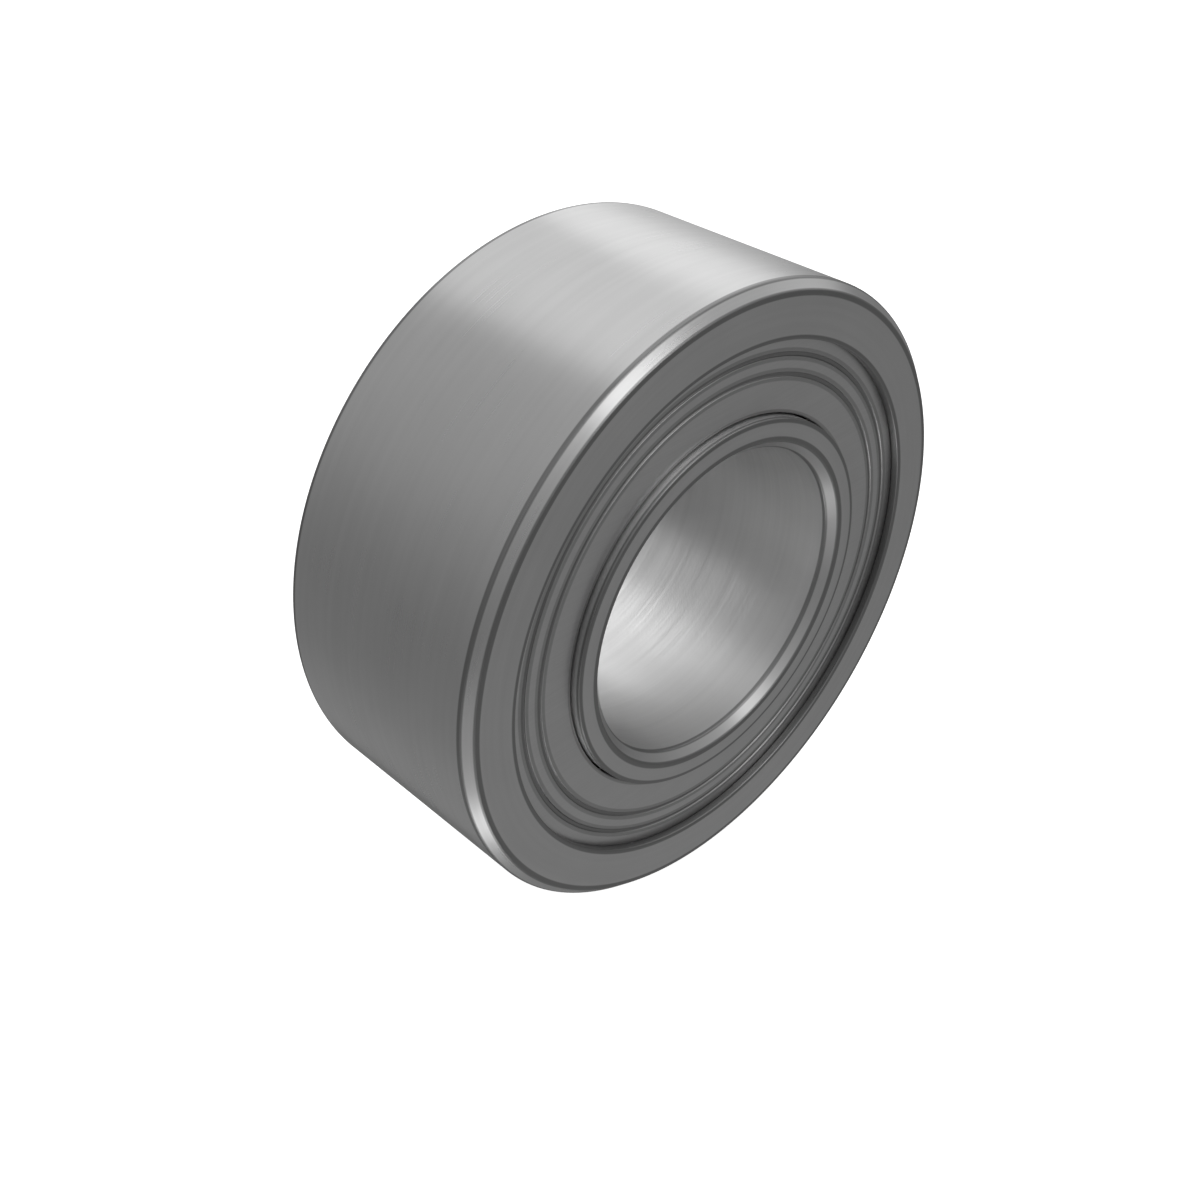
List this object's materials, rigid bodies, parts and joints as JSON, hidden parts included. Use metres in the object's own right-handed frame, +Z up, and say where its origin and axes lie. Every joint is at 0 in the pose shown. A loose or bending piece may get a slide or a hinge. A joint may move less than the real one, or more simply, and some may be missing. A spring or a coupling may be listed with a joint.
{
  "type": "cylindrical roller bearing",
  "caption": "Wide cylindrical roller bearing: plain steel outer and inner rings, rows of caged rollers, and a recessed pressed steel shield on each side.",
  "frame": {"origin": "centre of the bearing, on the axis of the outside cylinder and the bore, halfway across the width", "axes": "+Y along the bearing's axis, from the front face at -Y to the back face; +Z up with the axis lying level; +X to the right seen from the front"},
  "size_m": [0.08, 0.032, 0.08],
  "materials": {
    "ring_steel": "ground, satin",
    "shield_steel": "pressed sheet, matt satin",
    "roller_steel": "honed, bright",
    "cage_brass": "machined"
  },
  "bodies": {
    "outer_ring": {"outer_ring": "ring_steel", "front_shield": "shield_steel", "back_shield": "shield_steel"},
    "inner_ring": {"inner_ring": "ring_steel"},
    "front_cage": {"front_cage": "cage_brass"},
    "front_roller_01": {"front_roller_01": "roller_steel"},
    "front_roller_02": {"front_roller_02": "roller_steel"},
    "front_roller_03": {"front_roller_03": "roller_steel"},
    "front_roller_04": {"front_roller_04": "roller_steel"},
    "front_roller_05": {"front_roller_05": "roller_steel"},
    "front_roller_06": {"front_roller_06": "roller_steel"},
    "front_roller_07": {"front_roller_07": "roller_steel"},
    "front_roller_08": {"front_roller_08": "roller_steel"},
    "front_roller_09": {"front_roller_09": "roller_steel"},
    "front_roller_10": {"front_roller_10": "roller_steel"},
    "front_roller_11": {"front_roller_11": "roller_steel"},
    "front_roller_12": {"front_roller_12": "roller_steel"},
    "front_roller_13": {"front_roller_13": "roller_steel"},
    "front_roller_14": {"front_roller_14": "roller_steel"},
    "back_cage": {"back_cage": "cage_brass"},
    "back_roller_01": {"back_roller_01": "roller_steel"},
    "back_roller_02": {"back_roller_02": "roller_steel"},
    "back_roller_03": {"back_roller_03": "roller_steel"},
    "back_roller_04": {"back_roller_04": "roller_steel"},
    "back_roller_05": {"back_roller_05": "roller_steel"},
    "back_roller_06": {"back_roller_06": "roller_steel"},
    "back_roller_07": {"back_roller_07": "roller_steel"},
    "back_roller_08": {"back_roller_08": "roller_steel"},
    "back_roller_09": {"back_roller_09": "roller_steel"},
    "back_roller_10": {"back_roller_10": "roller_steel"},
    "back_roller_11": {"back_roller_11": "roller_steel"},
    "back_roller_12": {"back_roller_12": "roller_steel"},
    "back_roller_13": {"back_roller_13": "roller_steel"},
    "back_roller_14": {"back_roller_14": "roller_steel"}
  },
  "joints": [
    {"name": "inner_ring_spin", "type": "hinge", "parent": "outer_ring", "child": "inner_ring", "pos_m": [0, 0, 0], "axis": [0, 1, 0], "continuous": true},
    {"name": "front_cage_spin", "type": "hinge", "parent": "outer_ring", "child": "front_cage", "pos_m": [0, 0, 0], "axis": [0, 1, 0], "continuous": true},
    {"name": "front_roller_01_spin", "type": "hinge", "parent": "front_cage", "child": "front_roller_01", "pos_m": [0.028, -0.00725, 0], "axis": [0, 1, 0], "continuous": true},
    {"name": "front_roller_02_spin", "type": "hinge", "parent": "front_cage", "child": "front_roller_02", "pos_m": [0.02523, -0.00725, 0.01215], "axis": [0, 1, 0], "continuous": true},
    {"name": "front_roller_03_spin", "type": "hinge", "parent": "front_cage", "child": "front_roller_03", "pos_m": [0.01746, -0.00725, 0.02189], "axis": [0, 1, 0], "continuous": true},
    {"name": "front_roller_04_spin", "type": "hinge", "parent": "front_cage", "child": "front_roller_04", "pos_m": [0.00623, -0.00725, 0.0273], "axis": [0, 1, 0], "continuous": true},
    {"name": "front_roller_05_spin", "type": "hinge", "parent": "front_cage", "child": "front_roller_05", "pos_m": [-0.00623, -0.00725, 0.0273], "axis": [0, 1, 0], "continuous": true},
    {"name": "front_roller_06_spin", "type": "hinge", "parent": "front_cage", "child": "front_roller_06", "pos_m": [-0.01746, -0.00725, 0.02189], "axis": [0, 1, 0], "continuous": true},
    {"name": "front_roller_07_spin", "type": "hinge", "parent": "front_cage", "child": "front_roller_07", "pos_m": [-0.02523, -0.00725, 0.01215], "axis": [0, 1, 0], "continuous": true},
    {"name": "front_roller_08_spin", "type": "hinge", "parent": "front_cage", "child": "front_roller_08", "pos_m": [-0.028, -0.00725, 0], "axis": [0, 1, 0], "continuous": true},
    {"name": "front_roller_09_spin", "type": "hinge", "parent": "front_cage", "child": "front_roller_09", "pos_m": [-0.02523, -0.00725, -0.01215], "axis": [0, 1, 0], "continuous": true},
    {"name": "front_roller_10_spin", "type": "hinge", "parent": "front_cage", "child": "front_roller_10", "pos_m": [-0.01746, -0.00725, -0.02189], "axis": [0, 1, 0], "continuous": true},
    {"name": "front_roller_11_spin", "type": "hinge", "parent": "front_cage", "child": "front_roller_11", "pos_m": [-0.00623, -0.00725, -0.0273], "axis": [0, 1, 0], "continuous": true},
    {"name": "front_roller_12_spin", "type": "hinge", "parent": "front_cage", "child": "front_roller_12", "pos_m": [0.00623, -0.00725, -0.0273], "axis": [0, 1, 0], "continuous": true},
    {"name": "front_roller_13_spin", "type": "hinge", "parent": "front_cage", "child": "front_roller_13", "pos_m": [0.01746, -0.00725, -0.02189], "axis": [0, 1, 0], "continuous": true},
    {"name": "front_roller_14_spin", "type": "hinge", "parent": "front_cage", "child": "front_roller_14", "pos_m": [0.02523, -0.00725, -0.01215], "axis": [0, 1, 0], "continuous": true},
    {"name": "back_cage_spin", "type": "hinge", "parent": "outer_ring", "child": "back_cage", "pos_m": [0, 0, 0], "axis": [0, 1, 0], "continuous": true},
    {"name": "back_roller_01_spin", "type": "hinge", "parent": "back_cage", "child": "back_roller_01", "pos_m": [0.0273, 0.00725, 0.00623], "axis": [0, 1, 0], "continuous": true},
    {"name": "back_roller_02_spin", "type": "hinge", "parent": "back_cage", "child": "back_roller_02", "pos_m": [0.02189, 0.00725, 0.01746], "axis": [0, 1, 0], "continuous": true},
    {"name": "back_roller_03_spin", "type": "hinge", "parent": "back_cage", "child": "back_roller_03", "pos_m": [0.01215, 0.00725, 0.02523], "axis": [0, 1, 0], "continuous": true},
    {"name": "back_roller_04_spin", "type": "hinge", "parent": "back_cage", "child": "back_roller_04", "pos_m": [0, 0.00725, 0.028], "axis": [0, 1, 0], "continuous": true},
    {"name": "back_roller_05_spin", "type": "hinge", "parent": "back_cage", "child": "back_roller_05", "pos_m": [-0.01215, 0.00725, 0.02523], "axis": [0, 1, 0], "continuous": true},
    {"name": "back_roller_06_spin", "type": "hinge", "parent": "back_cage", "child": "back_roller_06", "pos_m": [-0.02189, 0.00725, 0.01746], "axis": [0, 1, 0], "continuous": true},
    {"name": "back_roller_07_spin", "type": "hinge", "parent": "back_cage", "child": "back_roller_07", "pos_m": [-0.0273, 0.00725, 0.00623], "axis": [0, 1, 0], "continuous": true},
    {"name": "back_roller_08_spin", "type": "hinge", "parent": "back_cage", "child": "back_roller_08", "pos_m": [-0.0273, 0.00725, -0.00623], "axis": [0, 1, 0], "continuous": true},
    {"name": "back_roller_09_spin", "type": "hinge", "parent": "back_cage", "child": "back_roller_09", "pos_m": [-0.02189, 0.00725, -0.01746], "axis": [0, 1, 0], "continuous": true},
    {"name": "back_roller_10_spin", "type": "hinge", "parent": "back_cage", "child": "back_roller_10", "pos_m": [-0.01215, 0.00725, -0.02523], "axis": [0, 1, 0], "continuous": true},
    {"name": "back_roller_11_spin", "type": "hinge", "parent": "back_cage", "child": "back_roller_11", "pos_m": [0, 0.00725, -0.028], "axis": [0, 1, 0], "continuous": true},
    {"name": "back_roller_12_spin", "type": "hinge", "parent": "back_cage", "child": "back_roller_12", "pos_m": [0.01215, 0.00725, -0.02523], "axis": [0, 1, 0], "continuous": true},
    {"name": "back_roller_13_spin", "type": "hinge", "parent": "back_cage", "child": "back_roller_13", "pos_m": [0.02189, 0.00725, -0.01746], "axis": [0, 1, 0], "continuous": true},
    {"name": "back_roller_14_spin", "type": "hinge", "parent": "back_cage", "child": "back_roller_14", "pos_m": [0.0273, 0.00725, -0.00623], "axis": [0, 1, 0], "continuous": true}
  ],
  "couplings": [
    {"joint": "front_cage_spin", "follows": "inner_ring_spin", "ratio": 0.41071},
    {"joint": "front_roller_01_spin", "follows": "inner_ring_spin", "ratio": -2.7107},
    {"joint": "front_roller_02_spin", "follows": "inner_ring_spin", "ratio": -2.7107},
    {"joint": "front_roller_03_spin", "follows": "inner_ring_spin", "ratio": -2.7107},
    {"joint": "front_roller_04_spin", "follows": "inner_ring_spin", "ratio": -2.7107},
    {"joint": "front_roller_05_spin", "follows": "inner_ring_spin", "ratio": -2.7107},
    {"joint": "front_roller_06_spin", "follows": "inner_ring_spin", "ratio": -2.7107},
    {"joint": "front_roller_07_spin", "follows": "inner_ring_spin", "ratio": -2.7107},
    {"joint": "front_roller_08_spin", "follows": "inner_ring_spin", "ratio": -2.7107},
    {"joint": "front_roller_09_spin", "follows": "inner_ring_spin", "ratio": -2.7107},
    {"joint": "front_roller_10_spin", "follows": "inner_ring_spin", "ratio": -2.7107},
    {"joint": "front_roller_11_spin", "follows": "inner_ring_spin", "ratio": -2.7107},
    {"joint": "front_roller_12_spin", "follows": "inner_ring_spin", "ratio": -2.7107},
    {"joint": "front_roller_13_spin", "follows": "inner_ring_spin", "ratio": -2.7107},
    {"joint": "front_roller_14_spin", "follows": "inner_ring_spin", "ratio": -2.7107},
    {"joint": "back_cage_spin", "follows": "inner_ring_spin", "ratio": 0.41071},
    {"joint": "back_roller_01_spin", "follows": "inner_ring_spin", "ratio": -2.7107},
    {"joint": "back_roller_02_spin", "follows": "inner_ring_spin", "ratio": -2.7107},
    {"joint": "back_roller_03_spin", "follows": "inner_ring_spin", "ratio": -2.7107},
    {"joint": "back_roller_04_spin", "follows": "inner_ring_spin", "ratio": -2.7107},
    {"joint": "back_roller_05_spin", "follows": "inner_ring_spin", "ratio": -2.7107},
    {"joint": "back_roller_06_spin", "follows": "inner_ring_spin", "ratio": -2.7107},
    {"joint": "back_roller_07_spin", "follows": "inner_ring_spin", "ratio": -2.7107},
    {"joint": "back_roller_08_spin", "follows": "inner_ring_spin", "ratio": -2.7107},
    {"joint": "back_roller_09_spin", "follows": "inner_ring_spin", "ratio": -2.7107},
    {"joint": "back_roller_10_spin", "follows": "inner_ring_spin", "ratio": -2.7107},
    {"joint": "back_roller_11_spin", "follows": "inner_ring_spin", "ratio": -2.7107},
    {"joint": "back_roller_12_spin", "follows": "inner_ring_spin", "ratio": -2.7107},
    {"joint": "back_roller_13_spin", "follows": "inner_ring_spin", "ratio": -2.7107},
    {"joint": "back_roller_14_spin", "follows": "inner_ring_spin", "ratio": -2.7107}
  ]
}
